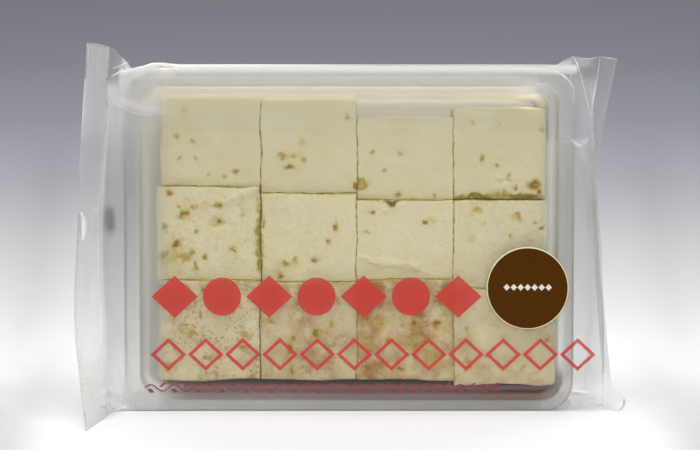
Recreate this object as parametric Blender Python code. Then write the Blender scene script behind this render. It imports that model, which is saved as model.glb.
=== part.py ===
"""A sealed bag of marshmallow squares in their tray, standing on its long side, with a round label.

Model space is metres with +Z up. The shown face looks to -Y and leans back a little, because
the tray's walls taper and it stands on one of them. The origin is the middle of the footprint.
"""

import math

import bmesh
import bpy
import numpy as np

# The tray that fills the bag, as the film outlines it
TRAY_WIDTH = 0.1586
FACE_HEIGHT = 0.1218  # at the front, from the table to the top edge
BACK_HEIGHT = 0.1150  # at the back, less by the taper of the walls
DEPTH = 0.0320
LEAN = math.radians(6)
EDGE_ROUND = 0.0026  # film drawn over the tray's rim

# The two sealed ends
SEAL_THICKNESS = 0.0012
STATIONS_PER_END = 10
STATIONS_PER_SEAL = 3
BODY_STATIONS = 11

# The label on the front
LABEL_RADIUS = 0.0144
LABEL_THICKNESS = 0.0004
LABEL_GAP = 0.0003
LABEL_X = 0.0628  # from the middle of the tray
LABEL_HEIGHT = 0.0436  # up the leaning face, to the label's centre

# Each end, from the table to the top in equal steps. Distances out from the middle of the
# tray, and depths behind the leaning face (negative is in front of it).
LEFT_END = {
    "side": -1,
    "seal_out": (0.0853, 0.0868, 0.0880, 0.0856, 0.0832),
    "edge_out": (0.0930, 0.0963, 0.0952, 0.0942, 0.0925),
    "seal_depth": (-0.0090, 0.0000, 0.0040, 0.0080, 0.0100),
    "edge_depth": (-0.0200, -0.0060, -0.0020, 0.0040, 0.0110),
    "bulge": (0.0000, 0.0010, 0.0010, 0.0010, -0.0010),
    "tip_height": 0.1270,
    "corner_top": 0.1164,  # where the front panel's top corner meets the seal
    "corner_foot": 0.0045,  # and its bottom corner
}
RIGHT_END = {
    "side": 1,
    "seal_out": (0.0905, 0.0885, 0.0870, 0.0855, 0.0890),
    "edge_out": (0.0978, 0.0925, 0.0895, 0.0905, 0.0955),
    "seal_depth": (0.0020, 0.0100, 0.0150, 0.0150, 0.0130),
    "edge_depth": (0.0000, 0.0185, 0.0245, 0.0215, 0.0150),
    "bulge": (0.0030, 0.0052, 0.0055, 0.0030, -0.0030),
    "tip_height": 0.1228,
    "corner_top": 0.1190,
    "corner_foot": 0.0035,
}
CORNER_REACH = 0.0130  # the face's edges start to bend this far inside the tray's end

LONG_STEPS = 12  # pieces up the front and up the back
SHORT_STEPS = 3  # pieces from an edge to the ridge of a gusset
ROUND_STEPS = 4  # pieces round an edge


def smooth_through(values, t):
    """A smooth curve through equally spaced values, read at t from 0 to 1."""
    values = np.asarray(values)
    ends = 2 * values[[0, -1]] - values[[1, -2]]
    padded = np.concatenate([ends[:1], values, ends[1:]])
    steps = np.clip(t, 0, 1) * (len(values) - 1)
    i = np.minimum(steps.astype(int), len(values) - 2)
    f = steps - i
    before, here, after, later = (padded[i + k] for k in range(4))
    slope = (after - before) / 2
    square = before - 2.5 * here + 2 * after - later / 2
    cube = 1.5 * (here - after) + (later - before) / 2
    return here + f * slope + f**2 * square + f**3 * cube


def rounded_loop(corners, rounds):
    """A closed outline through the corners, each replaced by a bend that starts its round away."""
    corners = np.asarray(corners)
    count = len(corners)
    edges = [LONG_STEPS, SHORT_STEPS, SHORT_STEPS, LONG_STEPS, SHORT_STEPS, SHORT_STEPS]
    starts, ends = [], []
    for k in range(count):
        to_last = corners[k - 1] - corners[k]
        to_next = corners[(k + 1) % count] - corners[k]
        starts.append(corners[k] + to_last * rounds[k] / np.linalg.norm(to_last))
        ends.append(corners[k] + to_next * rounds[k] / np.linalg.norm(to_next))
    pieces = []
    for k in range(count):
        s = np.linspace(0, 1, ROUND_STEPS + 1)[:, None]
        pieces.append(starts[k] * (1 - s) ** 2 + corners[k] * 2 * s * (1 - s) + ends[k] * s**2)
        s = np.linspace(0, 1, edges[k] + 1)[1:-1, None]
        pieces.append(ends[k] + (starts[(k + 1) % count] - ends[k]) * s)
    return np.concatenate(pieces)


def section(thickness, foot, top_front, top_back, ridge_foot, ridge_top, round_size):
    """One cross-section as (depth, height): front up, over the top, back down, under."""
    middle = thickness / 2
    corners = [
        (0, foot),
        (0, top_front),
        (middle, ridge_top),
        (thickness, top_back),
        (thickness, foot),
        (middle, ridge_foot),
    ]
    ridge_round = round_size / 3
    rounds = [round_size, round_size, ridge_round, round_size, round_size, ridge_round]
    return rounded_loop(corners, rounds)


def face_bend(x_out, end):
    """How far the face's edges have bent towards the seal's corners, from 0 to 1."""
    start = TRAY_WIDTH / 2 - CORNER_REACH
    seal = end["seal_out"][-1]
    share = np.clip((x_out - start) / (seal - start), 0, 1)
    return share**2


def place(loop, x, depth_shift):
    """The section's points in model space, sheared back by the lean."""
    depth, height = loop[:, 0] + depth_shift, loop[:, 1]
    return np.column_stack([x, depth + height * math.tan(LEAN), height])


def body_station(x, end):
    bend = face_bend(abs(x), end)
    top_front = FACE_HEIGHT + (end["corner_top"] - FACE_HEIGHT) * bend
    middle_top = (FACE_HEIGHT + BACK_HEIGHT) / 2
    loop = section(DEPTH, 0, top_front, BACK_HEIGHT, 0, middle_top, EDGE_ROUND)
    return place(loop, np.full(len(loop), x), 0)


def end_station(a, end):
    """A section between the tray's end (a = 0) and the seal (a = 1)."""
    half = TRAY_WIDTH / 2
    x_out = half + (end["seal_out"][-1] - half) * a
    bend = face_bend(x_out, end)
    thickness = SEAL_THICKNESS + (DEPTH - SEAL_THICKNESS) * (1 - a**1.6)
    top_front = FACE_HEIGHT + (end["corner_top"] - FACE_HEIGHT) * bend
    top_back = BACK_HEIGHT + (end["corner_top"] - BACK_HEIGHT) * a
    middle_top = (FACE_HEIGHT + BACK_HEIGHT) / 2
    ridge_top = middle_top + (end["tip_height"] - middle_top) * a
    foot = end["corner_foot"] * a**1.5
    round_size = EDGE_ROUND * (1 - a) + SEAL_THICKNESS / 3 * a
    loop = section(thickness, foot, top_front, top_back, 0, ridge_top, round_size)
    up = loop[:, 1] / end["tip_height"]
    out = half + (smooth_through(end["seal_out"], up) - half) * a
    out = out + smooth_through(end["bulge"], up) * math.sin(math.pi * a)
    shift = (smooth_through(end["seal_depth"], up) - SEAL_THICKNESS / 2) * a**2
    return place(loop, end["side"] * out, shift)


def seal_station(b, end):
    """A section across the flat seal, from its inner line (b = 0) to its cut edge (b = 1)."""
    thickness = SEAL_THICKNESS * (1 - b)
    corner_top, corner_foot = end["corner_top"], end["corner_foot"]
    round_size = SEAL_THICKNESS / 3
    loop = section(
        SEAL_THICKNESS, corner_foot, corner_top, corner_top, 0, end["tip_height"], round_size
    )
    loop[:, 0] = (loop[:, 0] / SEAL_THICKNESS - 0.5) * thickness
    up = loop[:, 1] / end["tip_height"]
    seal_out, edge_out = (smooth_through(end[key], up) for key in ("seal_out", "edge_out"))
    seal_depth, edge_depth = (
        smooth_through(end[key], up) for key in ("seal_depth", "edge_depth")
    )
    out = seal_out + (edge_out - seal_out) * b
    shift = seal_depth + (edge_depth - seal_depth) * b
    return place(loop, end["side"] * out, shift)


def end_stations(end):
    """Every section of one end, from its cut edge inwards."""
    seal = [seal_station(b, end) for b in np.linspace(1, 0, STATIONS_PER_SEAL + 1)[:-1]]
    flare = [end_station(a, end) for a in np.linspace(1, 0, STATIONS_PER_END + 1)]
    return seal + flare


def bag_sections():
    """All sections from the left cut edge to the right one."""
    inner = np.linspace(-1, 1, BODY_STATIONS + 2)[1:-1]
    # The sine crowds the sections towards the tray's rounded ends.
    xs = np.sin(inner * math.pi / 2) * TRAY_WIDTH / 2
    body = [body_station(x, LEFT_END if x < 0 else RIGHT_END) for x in xs]
    return end_stations(LEFT_END) + body + end_stations(RIGHT_END)[::-1]


def loft(name, sections):
    """A closed solid through sections of one point count, whose first and last are flat lines."""
    count = len(sections[0])
    mesh = bmesh.new()
    rings = [[mesh.verts.new(point) for point in ring] for ring in sections]
    for here, there in zip(rings, rings[1:]):
        for k in range(count):
            after = (k + 1) % count
            mesh.faces.new((here[k], here[after], there[after], there[k]))
    bmesh.ops.remove_doubles(mesh, verts=mesh.verts, dist=1e-6)
    bmesh.ops.triangulate(mesh, faces=mesh.faces)
    bmesh.ops.recalc_face_normals(mesh, faces=mesh.faces)
    data = bpy.data.meshes.new(name)
    mesh.to_mesh(data)
    mesh.free()
    data.shade_smooth()
    data.set_sharp_from_angle(angle=math.radians(40))
    return bpy.data.objects.new(name, data)


def principled(name, colour, roughness, alpha=1.0):
    material = bpy.data.materials.new(name)
    material.use_nodes = True
    shader = material.node_tree.nodes["Principled BSDF"]
    shader.inputs["Base Color"].default_value = (*colour, 1)
    shader.inputs["Roughness"].default_value = roughness
    shader.inputs["Metallic"].default_value = 0
    shader.inputs["Alpha"].default_value = alpha
    return material


def make_bag(sections):
    bag = loft("bag", sections)
    bag.data.materials.append(principled("hazy_film", (0.72, 0.70, 0.62), 0.25))
    return bag


def make_label(offset):
    """A thin disc that lies just in front of the leaning face."""
    bpy.ops.mesh.primitive_cylinder_add(vertices=64, radius=LABEL_RADIUS, depth=LABEL_THICKNESS)
    label = bpy.context.object
    label.name = label.data.name = "label"
    label.rotation_euler = (math.pi / 2 - LEAN, 0, 0)
    stand_off = LABEL_GAP + LABEL_THICKNESS / 2
    label.location = (
        LABEL_X - offset[0],
        LABEL_HEIGHT * math.sin(LEAN) - stand_off * math.cos(LEAN) - offset[1],
        LABEL_HEIGHT * math.cos(LEAN) + stand_off * math.sin(LEAN),
    )
    label.data.materials.append(principled("brown_paper", (0.07, 0.03, 0.01), 0.5))
    return label


def main():
    for old in list(bpy.data.objects):
        bpy.data.objects.remove(old)
    pack = bpy.data.collections.new("marshmallow_pack")
    bpy.context.scene.collection.children.link(pack)

    sections = bag_sections()
    points = np.concatenate(sections)
    middle = (points.min(axis=0) + points.max(axis=0)) / 2
    offset = (middle[0], middle[1])
    moved = [ring - (middle[0], middle[1], 0) for ring in sections]
    pack.objects.link(make_bag(moved))

    label = make_label(offset)
    for owner in list(label.users_collection):
        owner.objects.unlink(label)
    pack.objects.link(label)


main()
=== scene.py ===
# %% [markdown]
# # A bag of marshmallow squares
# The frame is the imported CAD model: one filled solid for the bag and a thin disc for the label.
# These cells put the real looks around it: clear film, a frosted tray, twelve cut squares,
# printed shapes and a paper label. Every new piece is a numpy surface placed where the CAD says.

import math

import bmesh
import bpy
import numpy as np
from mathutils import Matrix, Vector


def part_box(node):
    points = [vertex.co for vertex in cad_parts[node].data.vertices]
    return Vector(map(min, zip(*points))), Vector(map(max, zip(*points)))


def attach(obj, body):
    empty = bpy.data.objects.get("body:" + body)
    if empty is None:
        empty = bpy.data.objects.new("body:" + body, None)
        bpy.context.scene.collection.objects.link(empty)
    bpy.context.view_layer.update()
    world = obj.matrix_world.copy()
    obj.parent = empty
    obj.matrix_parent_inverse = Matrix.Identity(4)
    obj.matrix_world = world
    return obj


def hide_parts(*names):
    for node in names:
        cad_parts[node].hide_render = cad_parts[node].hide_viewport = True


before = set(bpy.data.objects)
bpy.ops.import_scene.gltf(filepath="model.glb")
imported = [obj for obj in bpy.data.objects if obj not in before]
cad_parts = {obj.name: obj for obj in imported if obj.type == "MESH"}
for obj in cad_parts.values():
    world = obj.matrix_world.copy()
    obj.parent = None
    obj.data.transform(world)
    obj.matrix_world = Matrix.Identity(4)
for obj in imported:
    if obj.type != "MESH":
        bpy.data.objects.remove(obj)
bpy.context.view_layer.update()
print("CAD nodes:", sorted(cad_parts))

# %% [markdown]
# ## Where things are
# The pack stands on its long side and its face leans back, because the tray's walls taper. It is
# easiest to think on the face itself: u to the right of the tray's middle, v up from the table and
# d behind the face, all in millimetres. Sliding each height back by v tan(lean) turns that into
# the frame. The label's own box tells where the CAD put the tray's middle and the face.

# %% Face coordinates
LEAN = math.radians(6)
LABEL_U, LABEL_UP = 62.8, 43.6
LABEL_STAND_OFF = 0.5  # from the face to the middle of the label's thickness

label_low, label_high = (np.array(corner) * 1000 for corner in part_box("label"))
label_middle = (label_low + label_high) / 2
ORIGIN_X = label_middle[0] - LABEL_U
ORIGIN_Y = label_middle[1] - LABEL_UP * math.sin(LEAN) + LABEL_STAND_OFF * math.cos(LEAN)


def place(u, v, d):
    """Face millimetres to frame metres: x = u, y = d + v tan(lean), z = v, then the CAD's offset."""
    return np.stack([u + ORIGIN_X, d + v * math.tan(LEAN) + ORIGIN_Y, v + 0 * u], axis=-1) / 1000


print(f"tray's middle at x = {ORIGIN_X:.2f} mm, foot of the face at y = {ORIGIN_Y:.2f} mm")

# %% [markdown]
# ## Small helpers
# Four things are needed again and again: a colour from its sRGB hex value, one node with its
# settings and links, the quads of a grid, and a mesh that rides on the frame. Every node is made by
# add(); the short functions after it only save writing for the commonest ones.


# %% Colour and node
def linear(hex_colour):
    """sRGB hex to linear: c / 12.92 up to 0.04045, above it ((c + 0.055) / 1.055) to the power 2.4."""
    c = np.array([int(hex_colour[k:k + 2], 16) for k in (0, 2, 4)]) / 255
    bent = np.where(c <= 0.04045, c / 12.92, ((c + 0.055) / 1.055) ** 2.4)
    return (*(float(value) for value in bent), 1.0)


def add(tree, kind, settings=None, inputs=None):
    """Adds one node. Settings are its properties; an input takes a value or another node's output."""
    node = tree.nodes.new("ShaderNode" + kind)
    for name, value in (settings or {}).items():
        setattr(node, name, value)
    for socket, value in (inputs or {}).items():
        if isinstance(value, bpy.types.NodeSocket):
            tree.links.new(value, node.inputs[socket])
        else:
            node.inputs[socket].default_value = value
    return node


def maths(tree, operation, *values, clamp=False):
    """The result of one Math node."""
    settings = {"operation": operation, "use_clamp": clamp}
    return add(tree, "Math", settings, dict(enumerate(values))).outputs[0]


def attribute(tree, name):
    """A number that each point of the mesh carries."""
    return add(tree, "Attribute", {"attribute_name": name}).outputs["Fac"]


def mix_colours(tree, share, first, second):
    """share 0 gives the first colour, 1 the second."""
    return add(tree, "MixRGB", inputs={0: share, 1: first, 2: second}).outputs[0]


def mix(tree, share, first, second):
    """share 0 gives the first shader, 1 the second."""
    return add(tree, "MixShader", inputs={0: share, 1: first, 2: second}).outputs[0]


def shader(tree, kind, **inputs):
    """A shader's output."""
    return add(tree, kind, inputs=inputs).outputs[0]


def clear(tree):
    """Light goes straight on."""
    return shader(tree, "BsdfTransparent", Color=linear("ffffff"))


def new_material(name):
    """A material with an empty node tree."""
    material = bpy.data.materials.new(name)
    material.use_nodes = True
    material.node_tree.nodes.clear()
    return material, material.node_tree


def finish(material, surface):
    """Links the last shader to the output."""
    add(material.node_tree, "OutputMaterial", inputs={"Surface": surface})
    print("material", material.name)
    return material


# %% Grids and pieces
def grid_faces(rows, columns, close_rows=False, close_columns=False):
    """The quads of a grid numbered row by row. A closed direction joins its last line to its first."""
    i = np.arange(rows if close_rows else rows - 1)[:, None]
    j = np.arange(columns if close_columns else columns - 1)[None, :]
    i_next, j_next = (i + 1) % rows, (j + 1) % columns
    corners = (i * columns + j, i * columns + j_next, i_next * columns + j_next, i_next * columns + j)
    return np.stack(corners, axis=-1).reshape(-1, 4)


def towards_front(u, v, faces):
    """The faces of a grid on the face, turned round if they look away: their area in (u, v), half the cross
    product of the diagonals, is positive where they look out of the face."""
    u, v = np.ravel(u)[faces], np.ravel(v)[faces]
    area = (u[:, 2] - u[:, 0]) * (v[:, 3] - v[:, 1]) - (u[:, 3] - u[:, 1]) * (v[:, 2] - v[:, 0])
    return faces if area.sum() > 0 else faces[:, ::-1]


def make_piece(name, points, faces, material, replaces="bag", fields=None):
    """Puts arrays into a mesh, welds seams and poles, and makes it ride on the frame."""
    mesh = bpy.data.meshes.new(name)
    mesh.from_pydata(points.reshape(-1, 3), [], faces)
    for field, values in (fields or {}).items():
        layer = mesh.attributes.new(field, "FLOAT", "POINT")
        layer.data.foreach_set("value", np.ravel(values).astype(np.float32))
    work = bmesh.new()
    work.from_mesh(mesh)
    bmesh.ops.remove_doubles(work, verts=work.verts, dist=2e-6)
    work.to_mesh(mesh)
    work.free()
    mesh.shade_smooth()
    mesh.materials.append(material)
    piece = bpy.data.objects.new(name, mesh)
    bpy.context.scene.collection.objects.link(piece)
    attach(piece, "root")
    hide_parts(replaces)
    print(f"{name}: {len(mesh.vertices)} points, {len(mesh.polygons)} faces")
    return piece


# %% [markdown]
# ## Randomness that repeats
# Hand-cut sweets and drawn film are uneven. A smooth noise that is worked out from whole arrays
# gives the same bumps on each run, with nothing left to chance.


# %% Smooth noise
def soft_noise(points, size, seed):
    """Hills about size across, from -1 to 1: random heights at the corners of a cubic lattice, blended
    between the eight nearest corners by 3f^2 - 2f^3 of the way f along each axis."""
    scaled = np.asarray(points, float) / size + 512.0
    cell = np.floor(scaled).astype(np.int64)
    f = scaled - cell
    f = f * f * (3 - 2 * f)
    total = np.zeros(f.shape[:-1])
    for corner in np.ndindex(2, 2, 2):
        c = cell + corner
        h = (c[..., 0] * 73856093) ^ (c[..., 1] * 19349663) ^ (c[..., 2] * 83492791) ^ (seed * 27644437)
        h = (h ^ (h >> 13)) * 1274126177 & 0x7FFFFFFF
        h = (h ^ (h >> 16)) & 0xFFFF
        weight = np.prod(np.where(corner, f, 1 - f), axis=-1)
        total += weight * (h / 32767.5 - 1)
    return total


# %% [markdown]
# ## The film's form
# The bag is one tube of film round the tray, pressed flat and welded at both ends. A section
# across it is a rounded six-sided loop: front, top with its gusset ridge, back and bottom. Carried
# from the left cut edge to the right one, with its depth shrinking to nothing, that loop gives the
# whole bag. The sizes are the CAD's, and the seal is as thin as two real layers.

# %% Sizes of the bag
# Millimetres. An end's curves are five equal steps from the table to its tip: distances out from
# the tray's middle and depths behind the face, of the seal's inner line and of its cut edge.
TRAY_HALF = 79.3
FACE_HEIGHT = 121.8
BACK_HEIGHT = 115.0
DEPTH = 32.0
EDGE_ROUND = 3.4
SEAL_THICKNESS = 0.3
CORNER_REACH = 13.0

LEFT_END = {
    "side": -1,
    "seal_out": (85.3, 86.8, 88.0, 85.6, 83.2),
    "edge_out": (90.0, 96.0, 95.2, 94.2, 92.5),
    "seal_depth": (-11.0, -1.0, 2.0, 3.0, 3.0),
    "edge_depth": (-28.0, -6.0, -2.0, 3.0, 9.0),
    "bulge": (0.0, 1.0, 1.0, 1.0, 0.0),
    "tip_height": 127.0,
    "corner_lift": 1.2,
    "corner_top": 116.4,
    "corner_foot": 4.5,
    "ridge": ((77.5, 118.4), (83.2, 127.0)),
    "flap": 0.0,
    "milk": (0.16, 0.08),
}
RIGHT_END = {
    "side": 1,
    "seal_out": (90.5, 88.5, 87.0, 85.5, 89.0),
    "edge_out": (93.4, 91.8, 89.5, 90.5, 95.5),
    "seal_depth": (2.0, 10.0, 15.0, 15.0, 13.0),
    "edge_depth": (0.0, 18.5, 24.5, 21.5, 15.0),
    "bulge": (3.0, 5.2, 5.5, 3.0, -3.0),
    "tip_height": 122.8,
    "corner_lift": -1.0,
    "corner_top": 119.0,
    "corner_foot": 3.5,
    "ridge": ((72.0, 118.4), (75.0, 120.2), (77.5, 121.9), (79.6, 122.8), (84.5, 122.3),
              (89.0, 122.8)),
    "flap": 4.4,
    "milk": (0.03, -0.20),
}

# %% Grid steps of the film
SEAL_STATIONS, END_STATIONS, BODY_STATIONS = 8, 30, 92
FRONT_RUN, BACK_RUN, SHORT_RUN, BEND_STEPS = 150, 64, 12, 6


# %% Curves and loops
def smoothstep(low, high, x):
    """0 below low, 1 above high and the cubic 3t^2 - 2t^3 between. With high below low it falls."""
    t = np.clip((x - low) / (high - low), 0, 1)
    return t * t * (3 - 2 * t)


def smooth_through(values, t):
    """A smooth curve through equally spaced values, read at t from 0 to 1: a cubic between each two,
    whose slope at a value is half the step from the value before to the value after."""
    values = np.asarray(values, float)
    ends = 2 * values[[0, -1]] - values[[1, -2]]
    padded = np.concatenate([ends[:1], values, ends[1:]])
    steps = np.clip(t, 0, 1) * (len(values) - 1)
    i = np.minimum(steps.astype(int), len(values) - 2)
    f = steps - i
    before, here, after, later = (padded[i + k] for k in range(4))
    slope = (after - before) / 2
    square = before - 2.5 * here + 2 * after - later / 2
    cube = 1.5 * (here - after) + (later - before) / 2
    return here + f * slope + f**2 * square + f**3 * cube


def rounded_loops(corners, rounds, runs):
    """Closed outlines (stations, points, 2) through corners (stations, corners, 2): a straight run
    between corners, and at each corner a quadratic bend that starts its round away."""
    to_last = np.roll(corners, 1, axis=1) - corners
    to_next = np.roll(corners, -1, axis=1) - corners
    starts = corners + to_last * (rounds / np.linalg.norm(to_last, axis=2))[..., None]
    ends = corners + to_next * (rounds / np.linalg.norm(to_next, axis=2))[..., None]
    pieces = []
    for k, run in enumerate(runs):
        s = np.linspace(0, 1, BEND_STEPS + 1)[:, None]
        bend = (starts[:, k, None] * (1 - s) ** 2 + corners[:, k, None] * 2 * s * (1 - s)
                + ends[:, k, None] * s**2)
        s = np.linspace(0, 1, run + 1)[1:-1, None]
        following = starts[:, (k + 1) % len(runs), None]
        pieces += [bend, ends[:, k, None] + (following - ends[:, k, None]) * s]
    return np.concatenate(pieces, axis=1)


# %% Half of the bag
EAR_HALF = 3.3


def half_bag(end):
    """The sections from one cut edge to the middle, as u, v, d arrays (stations, points). a runs from 0
    at the tray's end to 1 at the seal, and b from 0 at the seal's inner line to 1 at its cut edge. The
    depth shrinks as 1 - a^1.6, and the section slides out and back as the end's curves say, read at
    each point's height."""
    b = np.r_[np.linspace(1, 0, SEAL_STATIONS + 1)[:-1], np.zeros(END_STATIONS + 1 + BODY_STATIONS)]
    a = np.r_[np.ones(SEAL_STATIONS), np.linspace(1, 0, END_STATIONS + 1), np.zeros(BODY_STATIONS)]
    # The power crowds the stations towards the tray's ends, where the film is creased.
    towards_middle = np.linspace(0, 1, BODY_STATIONS + 1)[1:] ** 1.25
    inside = np.r_[np.zeros(SEAL_STATIONS + END_STATIONS + 1), towards_middle]
    out_at_top = TRAY_HALF * (1 - inside) + (end["seal_out"][-1] - TRAY_HALF) * a
    start = TRAY_HALF - CORNER_REACH
    bend = np.clip((out_at_top - start) / (end["seal_out"][-1] - start), 0, 1) ** 2

    thickness = SEAL_THICKNESS + (DEPTH - SEAL_THICKNESS) * (1 - a**1.6)
    top_front = FACE_HEIGHT + (end["corner_top"] - FACE_HEIGHT) * bend
    top_back = BACK_HEIGHT + (end["corner_top"] - BACK_HEIGHT) * a
    ridge_top = np.interp(out_at_top, *zip(*end["ridge"]))
    foot = end["corner_foot"] * a**1.5
    zero = np.zeros_like(a)
    depths = (zero, zero, thickness / 2, thickness, thickness, thickness / 2)
    heights = (foot, top_front, ridge_top, top_back, foot, zero)
    corners = np.stack([np.stack(depths, axis=1), np.stack(heights, axis=1)], axis=2)
    round_size = EDGE_ROUND * (1 - a) + SEAL_THICKNESS / 3 * a
    # The feet are bent tighter than the upper edges, and the gusset's ridges tighter still.
    shares = np.array([0.5, 1, 1 / 3, 1, 0.5, 1 / 3])
    runs = (FRONT_RUN, SHORT_RUN, SHORT_RUN, BACK_RUN, SHORT_RUN, SHORT_RUN)
    loops = rounded_loops(corners, round_size[:, None] * shares, runs)

    a, b, inside = a[:, None], b[:, None], inside[:, None]
    depth, v = loops[..., 0], loops[..., 1]
    up = v / end["tip_height"]
    seal_out, edge_out = (smooth_through(end[key], up) for key in ("seal_out", "edge_out"))
    seal_depth, edge_depth = (smooth_through(end[key], up) for key in ("seal_depth", "edge_depth"))
    out = TRAY_HALF * (1 - inside) + (seal_out - TRAY_HALF) * a + (edge_out - seal_out) * b
    out = out + smooth_through(end["bulge"], up) * np.sin(math.pi * a)
    # A loose ear at the foot of the seal: half an ellipse, 6.6 mm high.
    ear = np.sqrt(np.clip(1 - ((v - EAR_HALF) / EAR_HALF) ** 2, 0, 1))
    out = out + end["flap"] * ear * b**2
    v = v + end["corner_lift"] * smoothstep(118.0, end["tip_height"], v) * b
    d = depth * (1 - b) + (seal_depth - SEAL_THICKNESS / 2 * (1 - b)) * a**2
    d = d + (edge_depth - seal_depth) * b
    return end["side"] * out, v, d, a + 0 * v, b + 0 * v


def whole_bag():
    """Left half, then the right half turned round, without its middle station a second time."""
    left = half_bag(LEFT_END)
    right = half_bag(RIGHT_END)
    return [np.concatenate([l, r[-2::-1]]) for l, r in zip(left, right)]


bag_u, bag_v, bag_d, bag_a, bag_b = whole_bag()
print(f"film grid: {bag_u.shape[0]} stations of {bag_u.shape[1]} points")

# %% [markdown]
# ## Relief of the film
# Drawn film isn't flat. It sags a little over the tray's open mouth, ripples where it gathers
# towards the seals and keeps sharp creases at the folded corners. All of it is one height along
# the surface's normal, which is the cross product of the grid's two directions.


# %% Relief along the normal
def mouth_sag(u, v):
    """How far the film hangs in behind the face's plane: 1 - x^4 across times 1 - y^4 upward, so most in
    the mouth's middle and nothing at its rim."""
    across = np.clip(1 - (u / 73.0) ** 4, 0, 1)
    upward = np.clip(1 - ((v - 60.0) / 54.0) ** 4, 0, 1)
    points = np.stack([u, v, 0 * u], axis=-1)
    ripple = 0.12 * soft_noise(points, 34.0, 3)
    return across * upward * (0.55 + ripple)


def distance_to_path(u, v, path):
    """Distance from each point to a line of straight pieces: to the nearest point of each, then the least."""
    nearest = np.full(np.shape(u), np.inf)
    for (u0, v0), (u1, v1) in zip(path, path[1:]):
        du, dv = u1 - u0, v1 - v0
        t = np.clip(((u - u0) * du + (v - v0) * dv) / (du * du + dv * dv), 0, 1)
        nearest = np.minimum(nearest, np.hypot(u - u0 - t * du, v - v0 - t * dv))
    return nearest


def grid_normals(points):
    """Unit normals of a grid: the cross product of the differences along its two directions."""
    along = np.gradient(points, axis=0)
    around = np.roll(points, -1, axis=1) - np.roll(points, 1, axis=1)
    normals = np.cross(along, around)
    return normals / np.maximum(np.linalg.norm(normals, axis=-1, keepdims=True), 1e-12)


# Folds of the front film: path (u, v), width on each side and height, which may be a valley
CREASES = (
    (((-84.6, 116.4), (-83.5, 110.0), (-81.4, 108.0), (-73.5, 105.2), (-64.5, 103.8)), 3.0, 1.0),
    (((-74.0, 116.5), (-68.0, 121.5), (-61.0, 119.6)), 2.2, 0.6),
    (((-66.0, 114.0), (-71.0, 109.5)), 1.8, -0.4),
    (((-85.6, 8.0), (-85.0, 0.5)), 1.8, 1.2),
    (((-84.9, 6.6), (-77.5, 2.1)), 1.8, -0.9),
    (((80.8, 119.0), (83.2, 111.0), (84.9, 103.5), (86.0, 90.0)), 2.4, 0.8),
    (((78.2, 96.6), (81.0, 94.6), (84.0, 97.0)), 1.8, 1.0),
    (((81.0, 94.0), (83.6, 88.0)), 1.8, 0.6),
    (((75.0, 1.6), (85.2, 4.0), (88.0, 3.5)), 1.8, 0.9),
    (((88.0, 3.5), (94.0, 0.5)), 1.6, -0.5),
)

film_points = place(bag_u, bag_v, bag_d) * 1000
film_normals = grid_normals(film_points)
is_front = (np.arange(bag_u.shape[1]) < FRONT_RUN + 2 * BEND_STEPS)[None, :] & (bag_b < 0.5)
crease_height = np.zeros_like(bag_u)
for path, width, height in CREASES:
    away = distance_to_path(bag_u, bag_v, path)
    crease_height += height * smoothstep(width, 0.0, away)
gathers = np.sin(math.pi * np.clip(bag_a, 0, 1)) ** 0.7
stretched = film_points * (1.0, 1.0, 0.25)
relief = gathers * 0.5 * soft_noise(stretched, 7.0, 11) + np.where(is_front, crease_height, 0)
film_points = film_points + film_normals * relief[..., None]
# Both layers of a welded end move together, so they never cross.
seal_wave = 0.30 * soft_noise(np.stack([bag_u, 0.12 * bag_v, 0 * bag_u], axis=-1), 2.4, 5)
film_points[..., 1] += smoothstep(0.0, 0.3, bag_b) * seal_wave
film_points[..., 1] += np.where(np.abs(bag_d) < 1e-6, mouth_sag(bag_u, bag_v), 0)
film_points[..., 2] = np.maximum(film_points[..., 2], 0.0)
print(f"film relief from {relief.min():.2f} to {relief.max():.2f} mm")

# %% [markdown]
# ## Film material
# The bag is polypropylene film, cast and only slightly hazy. Light goes straight through most of
# it, so it is a mix of Transparent with a little white scatter and a gloss that grows at grazing
# angles. A glass shader would bend the light, which so thin a layer doesn't do, and would be slow.
# Two attributes vary it: milky adds scatter, and shade is painted shade that greys the scatter and dulls the
# gloss.

# %% Cast polypropylene film
FILM_HAZE, FILM_GRAZE, FILM_GLOSS = 0.05, 0.26, 0.22  # scatter face on, more when grazing, and gloss


def cast_polypropylene_film():
    """Clear cast film: opacity = haze + graze x (Layer Weight's Facing) + milky, and over it a soft gloss
    of Fresnel at 1.49, the index of polypropylene. Shade greys the scatter, which is painted shade, and
    takes up to nine tenths of the gloss away."""
    material, tree = new_material("cast_polypropylene_film")
    facing = add(tree, "LayerWeight", inputs={"Blend": 0.35}).outputs["Facing"]
    haze = maths(tree, "MULTIPLY_ADD", facing, FILM_GRAZE, FILM_HAZE)
    opacity = maths(tree, "ADD", haze, attribute(tree, "milky"), clamp=True)
    shade = attribute(tree, "shade")
    # Painted shade: the scatter turns grey where the shade attribute is high.
    tone = mix_colours(tree, shade, linear("eeeeec"), linear("a4a4a2"))
    white = shader(tree, "BsdfDiffuse", Color=tone)
    through = shader(tree, "BsdfTranslucent", Color=tone)
    gloss = shader(tree, "BsdfGlossy", Color=linear("ffffff"), Roughness=0.32)
    fresnel = shader(tree, "Fresnel", IOR=1.49)
    kept_gloss = maths(tree, "MULTIPLY_ADD", shade, -0.9 * FILM_GLOSS, FILM_GLOSS, clamp=True)
    shine = maths(tree, "MULTIPLY", fresnel, kept_gloss)
    body = mix(tree, opacity, clear(tree), mix(tree, 0.45, white, through))
    return finish(material, mix(tree, shine, body, gloss))


film_material = cast_polypropylene_film()
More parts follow.
